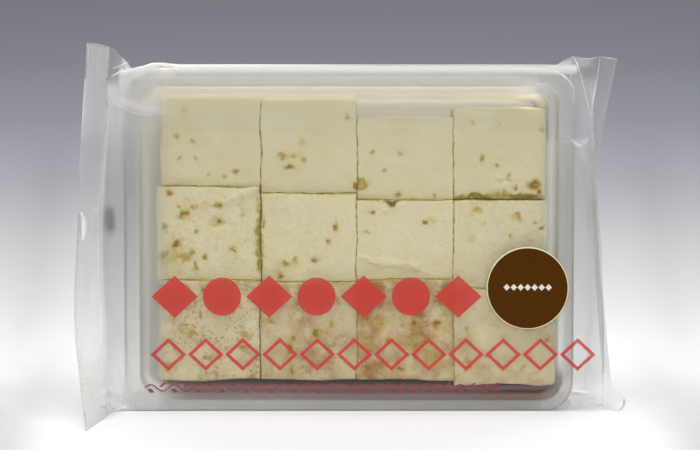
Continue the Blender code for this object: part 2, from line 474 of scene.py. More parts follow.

# %% [markdown]
# ## Where the film is milky or shaded
# On the real pack the film touches the tray's rim and the squares, and there it looks clear. Where
# it stands off, over the tray's sloping walls, it shows its own haze. There, on the seals, on the
# shoulders and on the top edge its scatter is painted greyer as shade, and its gloss is dulled.
# The welded ends are two layers and whiter along their lines. These are soft steps between two
# distances, in millimetres on the face, multiplied together; a painted image would do the same job
# but would have to be stored.

# %% Where the film stands off the tray
# Painted shade, which greys the scatter and dulls the gloss, at heights up the face: over the left
# wall, over the right wall and on the left seal
LEFT_WALL_SHADE = ((10, 25, 53, 80, 92, 104), (0.0, 0.54, 0.80, 0.86, 0.62, 0.15))
RIGHT_WALL_SHADE = ((8, 30, 53, 80, 95), (0.95, 0.90, 0.92, 0.72, 0.45))
LEFT_SEAL_SHADE = ((0, 25, 53, 74, 84, 93, 99, 104), (0.15, 0.28, 0.50, 0.52, 0.62, 0.58, 0.20, 0.0))


def past_squares(u, v):
    """u to the right, less the bit by which the lowest square reaches further out than those above."""
    return u - 3.6 * smoothstep(48.0, 42.0, v)


def stand_off(u, v, a, front):
    """Where the near film stands off the tray's left wall and its right one, from 0 to 1. On the left the
    line wavers near the top, and on the right it ends between 93 and 97 mm up."""
    line = np.stack([0 * u, v, 0 * u], axis=-1)
    contact = u + 2.0 * smoothstep(98.0, 108.0, v) * soft_noise(line, 9.0, 14)
    left = front * smoothstep(-62.5, -68.5, contact) * (1 - smoothstep(0.9, 1.0, a))
    low = smoothstep(50.0, 20.0, v)
    right = front * smoothstep(66.5, 71.5, past_squares(u, v))
    right = right * (1 - smoothstep(0.35 + 0.4 * low, 0.7 + 0.25 * low, a))
    return left, right * smoothstep(97.0, 93.0, v) * smoothstep(2.0, 14.0, v)


# %% Painted shade on the film
def film_shade(u, v, a, b, front):
    """The greatest of four painted shades, which grey the scatter and dull the gloss: beside both walls,
    on both seals, and on the shoulders and the top edge, which would catch too much of the top light."""
    left, right = stand_off(u, v, a, front)
    clear_side = (1 - 0.65 * smoothstep(-75.5, -71.5, u)) * (1 - smoothstep(0.60, 0.90, a))
    beside_right = np.interp(v, *RIGHT_WALL_SHADE) * smoothstep(70.5, 73.5, past_squares(u, v))
    walls = right * beside_right + left * clear_side * np.interp(v, *LEFT_WALL_SHADE)
    welded = smoothstep(0.0, 0.15, b)
    seal_shade = np.where(u < 0, np.interp(v, *LEFT_SEAL_SHADE), 0.30 + 0.35 * smoothstep(60.0, 95.0, v))
    seals = seal_shade * welded * smoothstep(2.0, 16.0, v)
    shoulders = 0.85 * smoothstep(0.08, 0.35, a) * (1 - welded) * smoothstep(112.0, 117.0, v)
    body = 1 - smoothstep(0.0, 0.3, a)
    crest = 0.9 * smoothstep(120.2, 121.4, v) * body * smoothstep(-50.0, 20.0, u)
    return np.clip(np.maximum.reduce([walls, seals, shoulders, crest]), 0, 1)


# %% Milky film
def milky_ends(u, v, a, b):
    """Scatter of the welded ends with their whitened cut edge and inner line, and of the film gathered
    beside them."""
    points = np.stack([u, v * 0.12, 0 * u], axis=-1)
    streaks = 0.5 + 0.5 * soft_noise(points, 1.8, 21)
    weld, gather = (np.where(u < 0, LEFT_END["milk"][k], RIGHT_END["milk"][k]) for k in (0, 1))
    cut_edge = np.where(u < 0, 0.22, 0.08) * smoothstep(0.9, 1.0, b)
    welded = smoothstep(0.0, 0.15, b)
    gather = gather + np.where(u > 0, 0.27 * smoothstep(88.0, 100.0, v), 0)
    gathered = smoothstep(0.15, 0.7, a) * (1 - welded) * gather
    inner_line = np.where(u < 0, 0.10, 0.04) * smoothstep(0.90, 1.0, a) * (1 - smoothstep(0.0, 0.2, b))
    return welded * (weld + 0.06 * streaks + cut_edge) + gathered + inner_line


def milky_body(u, v, d, a, front):
    """Scatter of the film that stands off the tray's walls, of a strip right of the squares and of the low
    rim, and painted light: milkier film above the squares, where the top light brightens the tray's
    inside, and a painted highlight band on the rounded top edge."""
    body = 1 - smoothstep(0.0, 0.3, a)
    left, right = stand_off(u, v, a, front)
    lifted = 0.52 * left + 0.40 * right
    strip = front * 0.15 * np.exp(-((u - 70.5) / 2.5) ** 2) * smoothstep(112.0, 104.0, v)
    # Painted light: milkier film above the squares, as bright as the tray's inside under the top light.
    under_light = np.where(front, 0.17 * smoothstep(96.0, 103.0, v) * body, 0)
    under_light = under_light * smoothstep(68.0, 52.0, u)
    low_rim = 0.12 * smoothstep(60.0, 30.0, u) + 0.13 * smoothstep(10.0, -50.0, u)
    low_rim = np.where(front, low_rim * smoothstep(13.0, 5.0, v), 0)
    thick = -0.2 + 1.2 * smoothstep(-66.0, -58.0, u)
    # Painted highlight: the rounded top edge is made milky, a white band where it catches the top light.
    on_edge = smoothstep(117.2, 119.6, v) * smoothstep(121.7, 120.4, v) * smoothstep(3.5, 2.0, d)
    return lifted + strip + under_light + low_rim + 0.65 * thick * body * on_edge


# %% The film
film_fields = {
    "milky": milky_ends(bag_u, bag_v, bag_a, bag_b) + milky_body(bag_u, bag_v, bag_d, bag_a, is_front),
    "shade": film_shade(bag_u, bag_v, bag_a, bag_b, is_front),
}
film_faces = grid_faces(*bag_u.shape, close_columns=True)[:, ::-1]
make_piece("film", film_points / 1000, film_faces, film_material, fields=film_fields)

# %% [markdown]
# ## Whitened folds and painted glints
# Where the film is folded hard it turns white along the fold. The grid is too coarse for a line
# of half a millimetre, so each is a ribbon of its own that follows the nearest points of the
# film's near side, a little in front of them, and narrows to nothing at both ends. The paths are a
# few given points each, smoothed by the same cubic as the ends.
# Four of the ribbons are no folds but painted glints, where the film catches the light.

# %% Paths of the folds and glints
RIBBON_LIFT = 0.12
# path (u, v), width and opacity
FOLDS_AND_GLINTS = (
    (((-84.6, 116.2), (-84.3, 113.0), (-83.0, 109.6), (-81.2, 107.8), (-78.8, 106.4)), 0.55, 0.75),
    (((-79.5, 106.8), (-76.0, 105.2), (-72.0, 104.3), (-67.0, 103.8)), 1.3, 0.28),
    (((-84.6, 116.4), (-81.6, 118.0), (-79.2, 119.4)), 0.6, 0.85),
    (((-83.4, 119.6), (-80.5, 120.2), (-77.0, 120.9)), 0.5, 0.6),
    (((-74.0, 116.5), (-71.4, 118.6), (-68.2, 120.4), (-65.6, 120.9)), 0.45, 0.5),
    # Painted glint: a small facet of the top edge catching the light.
    (((-66.0, 121.4), (-63.4, 120.6), (-60.4, 118.4)), 1.5, 1.0),
    (((-72.0, 112.6), (-69.5, 115.2), (-67.5, 117.2)), 0.4, 0.4),
    (((-92.3, 127.9), (-88.0, 127.6), (-83.4, 126.8)), 0.55, 0.6),
    # Painted glint on the left seal.
    (((-93.9, 70.4), (-93.5, 67.8), (-93.4, 65.2), (-93.4, 62.6), (-93.6, 60.0)), 3.0, 1.0),
    (((-85.6, 8.4), (-85.4, 4.0), (-85.0, 0.4)), 0.9, 0.9),
    (((-85.0, 6.6), (-81.0, 4.4), (-77.6, 2.2)), 0.6, 0.7),
    (((-84.8, 0.8), (-81.0, 1.2), (-77.6, 2.2)), 0.8, 0.8),
    (((70.0, 119.6), (74.4, 117.9), (77.2, 115.6), (79.0, 112.6)), 0.45, 0.8),
    (((79.8, 122.4), (80.6, 119.4), (82.6, 112.0), (84.7, 103.6), (85.8, 96.0), (86.4, 88.5)), 0.5, 0.7),
    (((79.8, 122.8), (84.4, 122.0), (89.0, 122.8)), 0.4, 0.5),
    (((89.0, 122.8), (88.0, 115.3), (86.4, 107.0), (85.6, 101.0)), 0.5, 0.7),
    (((89.2, 122.7), (92.0, 122.2), (95.4, 121.6)), 0.5, 0.7),
    # Painted highlights: two crescent glints on small dents in the film.
    (((77.6, 95.6), (80.8, 93.6), (84.2, 95.4)), 2.4, 0.55),
    (((81.0, 91.8), (82.4, 88.6), (84.2, 87.4)), 2.0, 0.18),
    (((75.0, 1.0), (85.4, 3.6), (89.0, 3.0), (93.6, 0.4)), 0.5, 0.5),
)


# %% Whitened folds and painted glints
def smoothed(values):
    """Each value as the mean of the seven round it."""
    padded = np.pad(values, 3, mode="edge")
    return np.convolve(padded, np.ones(7) / 7, mode="valid")


def fold_and_glint_ribbon(path, width, steps=40):
    """Points (steps, 3 across, 3) of a ribbon on the film: the path smoothed, as wide as sin(pi t)^0.6
    along it, and as deep as the nearest film points."""
    t = np.linspace(0, 1, steps)
    u, v = (smooth_through(values, t) for values in zip(*path))
    along = np.stack([np.gradient(u), np.gradient(v)])
    along /= np.linalg.norm(along, axis=0)
    half = np.array([-0.5, 0.0, 0.5]) * width * (np.sin(math.pi * t) ** 0.6)[:, None]
    nearest = np.argmin((u[:, None] - near_u) ** 2 + (v[:, None] - near_v) ** 2, axis=1)
    depth = smoothed(near_y[nearest] - near_v[nearest] * math.tan(LEAN) - ORIGIN_Y) - RIBBON_LIFT
    across_u, across_v = -along[1][:, None] * half, along[0][:, None] * half
    return place(u[:, None] + across_u, v[:, None] + across_v, depth[:, None])


def whitened_film_and_glints():
    """Film turned white by a hard fold, and painted glints: matt white, as opaque as its attribute says."""
    material, tree = new_material("stress_whitened_fold_and_painted_glint")
    white = shader(tree, "BsdfDiffuse", Color=linear("f8f8f6"))
    return finish(material, mix(tree, attribute(tree, "strength"), clear(tree), white))


near_side = np.arange(bag_u.shape[1]) < FRONT_RUN + 2 * BEND_STEPS + SHORT_RUN
near_u, near_v, near_y = (grid[:, near_side].ravel() for grid in (bag_u, bag_v, film_points[..., 1]))
ribbons = np.stack([fold_and_glint_ribbon(path, width) for path, width, opacity in FOLDS_AND_GLINTS])
strength = np.array([opacity for path, width, opacity in FOLDS_AND_GLINTS])[:, None, None] + 0 * ribbons[..., 0]
strength[..., [0, 2]] *= 0.3
ribbon_grid = grid_faces(*ribbons.shape[1:3])
ribbon_faces = [towards_front(ribbon[..., 0], ribbon[..., 2], ribbon_grid) + k * ribbon[..., 0].size
                for k, ribbon in enumerate(ribbons)]
make_piece("film_folds_and_glints", ribbons, np.concatenate(ribbon_faces), whitened_film_and_glints(),
           fields={"strength": strength})

# %% [markdown]
# ## The seam at the back
# The tube of film is closed by a welded overlap that runs along the back from end to end. It could
# be cut out of the film by a Boolean, but as the film is a grid, it is simply the columns between
# two heights once more, moved out by a tenth of a millimetre.

# %% Back seam
SEAM_LOW, SEAM_HIGH, SEAM_LIFT = 57.2, 67.2, 0.12
first_back = FRONT_RUN + 2 * SHORT_RUN + 4 * BEND_STEPS - 3
back_columns = np.arange(first_back, bag_u.shape[1] - 2 * SHORT_RUN - BEND_STEPS)
back_v = bag_v[BODY_STATIONS, back_columns]
seam_columns = back_columns[(back_v > SEAM_LOW) & (back_v < SEAM_HIGH)]
seam_points = (film_points + film_normals * SEAM_LIFT)[:, seam_columns]
seam_milk = 0.10 + 0.35 * smoothstep(0.0, 0.2, bag_b[:, seam_columns])
seam_faces = grid_faces(*seam_points.shape[:2])[:, ::-1]
make_piece("back_seam", seam_points / 1000, seam_faces, film_material, fields={"milky": seam_milk})
print(f"seam of {len(seam_columns)} columns, {SEAM_HIGH - SEAM_LOW:.0f} mm wide")

# %% [markdown]
# ## The tray
# A thermoformed tray of frosted polypropylene: a flange with a bead, a stacking shoulder, tapered
# walls and a floor. On the grid one direction runs round a rounded rectangle and the other
# follows the profile inwards, so each ring is the outline moved in by the profile's inset. The
# tray's own axis is square to the leaning face.

# %% Sizes of the tray
FLANGE_HALF_WIDTH = 78.9
FLANGE_BOTTOM, FLANGE_TOP = 0.25, 119.9
CORNER_RADIUS = 10.0
TRAY_WALL = 0.45
# inset from the flange's edge, depth behind the face
TRAY_PROFILE = (
    (0.3, 2.9), (0.0, 2.2), (0.0, 1.4), (0.3, 0.95), (0.9, 0.8), (2.4, 0.8), (2.8, 0.55), (3.3, 0.45),
    (3.8, 0.55), (4.2, 0.8), (4.9, 0.85), (5.3, 1.0), (5.6, 1.5), (6.0, 4.0), (6.3, 4.8), (6.9, 5.2),
    (8.0, 5.3), (8.5, 5.6), (8.8, 6.3), (9.9, 17.0), (10.9, 27.0), (11.4, 28.8), (12.6, 30.0),
    (14.5, 30.4), (22.0, 30.5), (34.0, 30.5), (48.0, 30.5), (59.8, 30.5),
)


# %% Tray surface
def rounded_rectangle(half_width, half_height, radius, side_steps, corner_steps):
    """Outlines (rings, points) about the middle, for arrays of half sizes and radii: four quarter circles
    joined by four straight sides, counter-clockwise from where the top right circle starts."""
    quarter = np.linspace(0, math.pi / 2, corner_steps)
    us, vs = [], []
    for k, (side_u, side_v) in enumerate(((1, 1), (-1, 1), (-1, -1), (1, -1))):
        angle = quarter + k * math.pi / 2
        centre_u = side_u * (half_width - radius)
        centre_v = side_v * (half_height - radius)
        us.append(centre_u[:, None] + radius[:, None] * np.cos(angle))
        vs.append(centre_v[:, None] + radius[:, None] * np.sin(angle))
    u, v = [], []
    for k in range(4):
        s = np.linspace(0, 1, side_steps + 1)[1:-1]
        after = (k + 1) % 4
        u += [us[k], us[k][:, -1:] + (us[after][:, :1] - us[k][:, -1:]) * s]
        v += [vs[k], vs[k][:, -1:] + (vs[after][:, :1] - vs[k][:, -1:]) * s]
    return np.concatenate(u, axis=1), np.concatenate(v, axis=1)


profile = np.array(TRAY_PROFILE)
tray_inset, tray_depth = profile[:, 0], profile[:, 1]
tray_half_height = (FLANGE_TOP - FLANGE_BOTTOM) / 2
ring_height = np.maximum(tray_half_height - tray_inset, 0.001)
ring_radius = np.minimum(np.maximum(CORNER_RADIUS - 0.6 * tray_inset, 4.0), ring_height)
tray_u, tray_w = rounded_rectangle(FLANGE_HALF_WIDTH - tray_inset, ring_height, ring_radius, 30, 12)
tray_d = tray_depth[:, None] + 0 * tray_u
tray_v = tray_w + (FLANGE_TOP + FLANGE_BOTTOM) / 2 - tray_d * math.tan(LEAN)


# %% [markdown]
# ## Frosted plastic
# The tray is a clear plastic made matt by fine scratches of the mould, so light comes through it
# white. One mix of Transparent, white scatter and gloss does that too, and three attributes vary
# it: frost is the opacity, glow the share of light scattered onward instead of back, and the third
# is painted shade: brown at the foot, where the squares keep the light off the lower wall, and more
# lightly along the low rim, darker towards the right.

# %% Frosted polypropylene
def frosted_polypropylene():
    """Matt plastic: opacity = frost + 0.35 x (Layer Weight's Facing), with a grain of about a millimetre
    as bump and the gloss of Fresnel at 1.5."""
    material, tree = new_material("thermoformed_frosted_polypropylene")
    facing = add(tree, "LayerWeight", inputs={"Blend": 0.4}).outputs["Facing"]
    graze = maths(tree, "MULTIPLY", facing, 0.35)
    opacity = maths(tree, "ADD", graze, attribute(tree, "frost"), clamp=True)
    # Painted shade: brown at the foot, where the squares keep the light off the lower wall.
    tint = mix_colours(tree, attribute(tree, "painted_shade"), linear("f2efe3"), linear("6e4f3c"))
    position = add(tree, "TexCoord").outputs["Object"]
    grain = add(tree, "TexNoise", inputs={"Vector": position, "Scale": 900.0, "Detail": 2.0})
    bump = shader(tree, "Bump", Strength=0.15, Distance=0.0002, Height=grain.outputs["Fac"])
    white = shader(tree, "BsdfDiffuse", Color=tint, Normal=bump)
    through = shader(tree, "BsdfTranslucent", Color=tint)
    gloss = shader(tree, "BsdfGlossy", Color=linear("ffffff"), Roughness=0.35, Normal=bump)
    scatter = mix(tree, attribute(tree, "glow"), white, through)
    body = mix(tree, opacity, clear(tree), scatter)
    return finish(material, mix(tree, shader(tree, "Fresnel", IOR=1.5), body, gloss))


# %% The tray
inside = smoothstep(4.6, 6.2, tray_inset)[:, None] + 0 * tray_u
high, low = smoothstep(86.0, 97.0, tray_v), smoothstep(18.0, 11.0, tray_v)
left_of_corner = smoothstep(68.0, 56.0, tray_u)
flange_top = smoothstep(104.0, 114.0, tray_v) * (1 - inside) * left_of_corner
lit_ceiling = high * inside * left_of_corner
side_walls = inside * smoothstep(61.0, 66.0, np.abs(tray_u)) * (1 - high) * (1 - low)
left_flange = (1 - inside) * smoothstep(-70.0, -74.0, tray_u) * (1 - high)
# Painted shade: the lower wall under the squares is made brown and more opaque, and the low rim lightly
# brown, darker towards the right.
shaded_foot = smoothstep(2.8, 4.2, tray_inset)[:, None] * low * smoothstep(-70.0, -56.0, tray_u)
low_rim = (1 - inside) * smoothstep(10.0, 6.0, tray_v) * smoothstep(-60.0, 60.0, tray_u)
tray_fields = {
    "frost": (0.36 - 0.16 * high * (1 - left_of_corner) + 0.58 * lit_ceiling + 0.56 * flange_top
              + 0.40 * side_walls - 0.30 * left_flange + 0.45 * shaded_foot),
    "glow": 0.45 + 0.45 * lit_ceiling + 0.40 * side_walls - 0.30 * low - 0.25 * flange_top,
    "painted_shade": np.clip(shaded_foot + 0.30 * low_rim, 0, 1),
}
tray = make_piece("tray", place(tray_u, tray_v, tray_d), grid_faces(*tray_u.shape, close_columns=True),
                  frosted_polypropylene(), fields=tray_fields)
wall = tray.modifiers.new("wall", "SOLIDIFY")
wall.thickness = TRAY_WALL / 1000
wall.offset = 0

# %% [markdown]
# ## The marshmallow squares
# Twelve squares cut by hand from a slab. Each is a block with soft edges: the six faces of a cube
# are grids, and every point is pulled onto a box with rounded edges. Then come lumps, dents and
# creases along the normal. The cuts between columns and rows are the driving sizes.

# %% Cuts between the squares
COLUMN_CUTS = (-66.6, -31.2, 2.7, 36.9, 70.2)
ROW_CUTS = (
    (10.8, 45.6, 78.4, 109.4),
    (10.8, 45.2, 76.0, 108.8),
    (10.8, 45.9, 73.8, 102.8),
    (9.1, 42.8, 73.7, 106.0),
)
FRONT_DEPTHS = (2.2, 5.5, 8.5)
BACK_DEPTH = 28.6
CUT_GAP = 0.03
OUTER_SOFTNESS, INNER_SOFTNESS, FRONT_SOFTNESS = 1.2, 0.40, 0.35
BLOCK_STEPS = (78, 18, 74)


# %% Cube shell
def cube_shell(steps):
    """A closed cube from -1 to 1 as six grids with shared edges: each point has whole-number
    coordinates, so equal points are found and numbered once. Returns points, faces."""
    steps = np.array(steps)
    corners, faces, count = [], [], 0
    for axis in range(3):
        first, second = (axis + 1) % 3, (axis + 2) % 3
        for side in (0, 1):
            i, j = np.meshgrid(np.arange(steps[first] + 1), np.arange(steps[second] + 1), indexing="ij")
            place_on = np.zeros((*i.shape, 3), int)
            place_on[..., first], place_on[..., second] = i, j
            place_on[..., axis] = side * steps[axis]
            quads = grid_faces(*i.shape) + count
            faces.append(quads if side == 0 else quads[:, ::-1])
            corners.append(place_on.reshape(-1, 3))
            count += i.size
    shared, number = np.unique(np.concatenate(corners), axis=0, return_inverse=True)
    return shared / steps * 2 - 1, number.reshape(-1)[np.concatenate(faces)]


cube_points, cube_faces = cube_shell(BLOCK_STEPS)
# The power crowds the steps in depth towards the front, where the edges are seen.
cube_points[:, 1] = np.sign(cube_points[:, 1]) * np.abs(cube_points[:, 1]) ** 0.25
print(f"a square's cage: {len(cube_points)} points, {len(cube_faces)} faces")


# %% One rounded block
def rounded_block(low, high, soft_low, soft_high):
    """Points (u, d, v) on a box with rounded edges, and their normals: each cube point is kept inside
    the box less its softness, and the rest of the way is made one softness long. Each of the six sides
    has its own."""
    half = (high - low) / 2
    softness = np.where(cube_points < 0, soft_low, soft_high)
    target = cube_points * half
    core = np.clip(target, -(half - softness), half - softness)
    away = (target - core) / softness
    normals = away / np.linalg.norm(away, axis=1, keepdims=True)
    return core + normals * softness + (low + high) / 2, normals


# %% [markdown]
# ## Marks on the squares
# Crumbs of spice stick to the cut foam and leave smudges, and the knife leaves dents and ridges. A
# random scatter would never put them where they are on this pack, and a painted image would have to
# be stored, so each is one row of numbers: a place, a size and how strong it is. A few of the olive
# rows are painted shade along the gaps between squares and in dents.

# %% Marks on the squares
# For each square, numbered from the top left: smudges of spice, and a few rows of painted shade in
# gaps and dents, as (u, v, width, height, rust, olive), in millimetres on the face and shares from 0 to 1
SMUDGES_AND_SHADE = {
    1: ((-39.4, 84.0, 3.4, 2.0, 0.06, 0.39), (-57.9, 105.5, 4.5, 4.5, 0.15, 0),
        (-61.0, 96.5, 1.6, 2.4, 0, 0.28), (-55.0, 94.5, 1.6, 1.8, 0, 0.28),
        (-60.0, 88.2, 1.4, 1.4, 0, 0.28), (-54.2, 88.5, 1.4, 1.4, 0, 0.22),
        (-50.0, 82.4, 1.3, 1.3, 0.12, 0.22), (-43.8, 82.2, 1.8, 1.5, 0.12, 0.28)),
    2: ((-23.9, 88.8, 3.6, 2.2, 0.25, 0.55), (-19.6, 89.0, 4.0, 1.8, 0.31, 0.11),
        (-16.4, 87.6, 1.8, 1.8, 0.25, 0.44), (-21.4, 85.0, 4.6, 1.8, 0.06, 0.5),
        (-17.0, 94.0, 2.4, 2.6, 0.25, 0.11), (-0.8, 103.2, 2.2, 2.2, 0.06, 0.28),
        (2.2, 78.6, 3.0, 3.0, 0.1, 0.9)),
    3: ((8.4, 90.6, 1.8, 1.8, 0.12, 0.33), (18.5, 90.4, 2.0, 2.0, 0.12, 0.22),
        (12.3, 84.0, 2.2, 1.8, 0.06, 0.33), (3.9, 79.4, 4.4, 3.6, 0.3, 1.0),
        (17.2, 75.8, 2.4, 1.8, 0.06, 0.44), (30.5, 75.4, 2.0, 1.6, 0.06, 0.28)),
    4: ((43.5, 100.6, 2.0, 1.4, 0, 0.33), (53.0, 99.8, 2.2, 1.6, 0.19, 0.11),
        (47.0, 88.2, 1.4, 3.2, 0.06, 0.39), (52.3, 85.6, 1.5, 1.5, 0.06, 0.33),
        (57.1, 82.6, 1.3, 1.3, 0.12, 0.28), (58.8, 78.3, 1.2, 1.2, 0.12, 0.55),
        (65.9, 79.2, 3.9, 3.2, 1.0, 0.4), (67.4, 76.6, 1.4, 2.4, 0.9, 0),
        (51.8, 75.9, 3.0, 1.8, 0.19, 0.44), (55.3, 76.3, 2.8, 1.8, 0.19, 0.44),
        # Painted shade: the two long olive rows at v 74.8 darken the gap under square 4.
        (68.2, 98.6, 2.6, 5.0, 0, 0.17), (45.0, 74.8, 16.0, 1.4, 0.1, 1.0),
        (62.0, 74.8, 16.0, 1.4, 0.1, 1.0)),
    5: ((-63.5, 76.6, 1.8, 1.8, 1.0, 0.3), (-60.2, 72.2, 2.2, 1.2, 0.5, 0.3),
        (-54.7, 71.9, 2.6, 1.4, 0.7, 0.1), (-57.9, 69.4, 3.4, 2.8, 1.0, 0.6),
        (-59.3, 67.7, 1.9, 1.3, 0.9, 1.0), (-53.7, 62.8, 1.2, 1.2, 0.1, 0.8),
        (-65.2, 64.2, 1.6, 3.8, 0.6, 0.6), (-61.0, 58.9, 3.2, 3.2, 0.9, 0.2),
        (-65.6, 54.0, 3.2, 4.6, 0.8, 0.4), (-58.6, 53.7, 5.6, 2.0, 0.5, 0.8),
        (-55.9, 55.6, 2.6, 1.4, 0.2, 0.8), (-50.8, 54.0, 1.6, 1.6, 0.1, 0.8),
        (-40.3, 57.2, 1.4, 1.8, 0.2, 0.8), (-54.4, 50.8, 1.0, 3.2, 0.2, 0.8),
        # Painted shade: the olive marks at -46.4, 71.8 and -46.0, 66.4 shade two dents, and the tall ones at
        # -31.7 and -31.8 darken the gap to square 6.
        (-62.0, 56.0, 7.0, 9.0, 0.22, 0.1), (-46.4, 71.8, 3.2, 1.8, 0.0, 0.55),
        (-46.0, 66.4, 5.0, 2.0, 0.0, 0.3), (-31.7, 64.0, 1.9, 24.0, 0.2, 0.9),
        (-31.8, 52.0, 1.2, 9.0, 0.1, 0.7)),
    6: ((-4.5, 64.5, 1.6, 2.8, 1.0, 0.2), (-7.0, 58.9, 1.8, 2.4, 0.6, 0.2),
        (-11.9, 53.0, 1.6, 2.0, 0.1, 0.9), (-23.1, 51.9, 5.8, 2.2, 0.6, 0.1),
        (-24.5, 47.7, 2.0, 2.8, 0.9, 0.2), (-18.7, 53.0, 1.8, 1.8, 0.1, 0.5),
        # Painted shade: the tall olive mark at -30.8 darkens the gap to square 5.
        (-30.8, 60.0, 0.9, 22.0, 0.1, 0.8)),
    7: ((8.2, 69.6, 1.9, 1.9, 1.0, 0), (14.9, 72.6, 2.8, 2.6, 0.1, 1.0), (27.2, 66.1, 2.8, 1.6, 0.1, 0.8),
        (30.0, 67.0, 1.8, 1.0, 0.1, 0.5), (6.2, 62.4, 3.2, 0.9, 0.1, 0.4)),
    8: ((45.2, 70.5, 3.0, 2.2, 0.4, 0.6), (59.3, 68.2, 2.9, 1.8, 0.6, 0.8),
        (47.7, 64.9, 1.6, 1.2, 0.2, 0.5), (43.3, 60.9, 2.8, 2.2, 0.3, 0.2),
        (57.1, 60.9, 1.8, 1.4, 0.6, 0.3), (66.1, 66.4, 2.8, 0.9, 0.2, 0.5),
        (68.4, 63.9, 2.2, 1.2, 0.8, 0.5)),
    9: ((-56.0, 27.2, 6.6, 2.4, 0.5, 0.7), (-51.2, 43.2, 2.8, 3.4, 0.9, 0.1),
        (-52.3, 34.2, 3.0, 4.0, 0.6, 0), (-36.5, 27.2, 1.8, 2.4, 0.5, 0.8),
        (-37.5, 22.0, 3.2, 2.0, 0.6, 0.5), (-64.0, 15.0, 4.0, 4.0, 0.6, 0.2),
        (-45.0, 36.0, 4.0, 5.0, 0.4, 0.3), (-59.5, 38.0, 3.0, 4.0, 0.4, 0.2)),
    10: ((-21.2, 32.8, 2.6, 4.0, 0.7, 0.3), (-11.4, 27.2, 3.0, 3.0, 0.1, 1.0),
         (-6.1, 30.2, 2.4, 2.0, 0.1, 0.8), (-19.8, 25.8, 2.0, 2.4, 0.8, 0.6),
         (-20.7, 21.2, 2.8, 5.4, 1.0, 0), (-19.8, 14.2, 2.0, 3.6, 0.8, 0.1),
         (-5.6, 39.4, 2.8, 1.9, 0.6, 0.6), (-26.8, 31.8, 2.6, 2.4, 0.5, 0.4),
         (-5.0, 23.4, 1.4, 1.4, 0.2, 0.7), (-12.0, 44.0, 9.0, 1.6, 0.5, 0.1)),
    11: ((4.7, 38.0, 3.4, 3.0, 0.9, 0.5), (22.4, 31.0, 2.9, 2.6, 0.9, 0.9),
         (18.9, 30.8, 2.0, 2.0, 0.6, 0.4), (30.8, 30.5, 2.9, 2.6, 0.9, 0.9),
         (26.6, 43.5, 1.8, 1.5, 0.4, 0.6), (13.7, 24.1, 2.6, 2.6, 0.7, 0.3),
         (30.2, 18.8, 4.4, 4.8, 0.4, 0.8), (17.9, 14.4, 3.4, 2.6, 0.7, 0.3),
         (11.0, 31.5, 7.0, 4.0, 0.5, 0.1), (22.0, 24.0, 9.0, 6.0, 0.3, 0.1),
         (34.4, 34.0, 2.2, 8.0, 0.4, 0.2), (6.0, 26.0, 3.6, 5.0, 0.4, 0.2)),
    12: ((41.7, 28.4, 1.9, 1.9, 0.1, 0.6), (69.4, 24.8, 1.3, 1.3, 0.2, 1.0),
         (41.7, 17.8, 2.4, 2.4, 0.6, 0.8), (41.7, 14.9, 2.6, 2.0, 1.0, 0.1),
         (37.8, 12.0, 2.0, 2.0, 0.6, 0.3), (46.7, 20.6, 1.6, 1.6, 0.5, 0.1),
         (49.3, 19.2, 1.4, 1.4, 0.6, 0.1), (58.0, 40.0, 3.0, 3.0, 0.2, 0.1)),
}
# Dents: (u, v, width, height, depth) in millimetres
DENTS = {
    4: ((65.9, 79.0, 5.0, 3.2, 0.5), (55.0, 80.5, 9.0, 1.6, 0.35)),
    5: ((-46.2, 71.4, 4.2, 2.2, 1.1), (-46.2, 66.2, 5.4, 2.6, 1.2), (-37.9, 67.9, 2.6, 1.2, 0.5)),
    7: ((14.9, 73.0, 3.0, 3.4, 1.1), (27.2, 66.3, 3.2, 1.8, 0.5), (8.2, 69.6, 1.6, 1.6, 0.4)),
    8: ((59.3, 68.4, 3.0, 1.8, 0.4), (68.4, 64.2, 2.4, 1.4, 0.5)),
    10: ((-4.0, 38.6, 3.0, 4.0, 0.6),),
    11: ((4.7, 38.2, 3.2, 3.0, 0.7), (22.4, 31.0, 2.4, 2.4, 0.4), (30.8, 30.5, 2.4, 2.4, 0.4)),
    12: ((66.5, 13.0, 3.0, 1.4, 0.7), (62.0, 15.0, 4.0, 1.6, 0.5)),
}
# Corners squeezed out by the knife: (u, v, width, height, how far out)
BULGES = {12: ((67.0, 12.0, 9.0, 7.0, 1.5),)}
# Ridges left by the knife: (from, to, width, height) on the face
RIDGES = {
    4: (((52.0, 81.5), (60.0, 78.2), 1.4, 0.35),),
    5: (((-43.0, 73.6), (-32.4, 78.2), 2.2, 0.9),),
    7: (((4.0, 53.8), (24.0, 50.0), 1.8, 0.6), ((12.0, 70.0), (18.5, 72.0), 1.6, 0.4)),
}
# Sides moved in, which widens a gap, or out where negative: (square, side, distance), with side 0 left,
# 1 right, 2 below and 3 above
WIDE_GAPS = ((5, 1, 0.18), (9, 1, 0.15), (4, 2, 0.3), (5, 0, -1.5), (9, 0, -0.8), (8, 1, -0.5), (12, 1, -3.6))
# Share of spice dust and of browning over a whole square
DUSTING = {9: 0.85, 10: 0.50, 11: 0.80, 12: 0.25, 5: 0.22, 6: 0.12, 8: 0.15}
BROWNING = {9: 0.30, 10: 0.58, 11: 1.0, 12: 0.38}
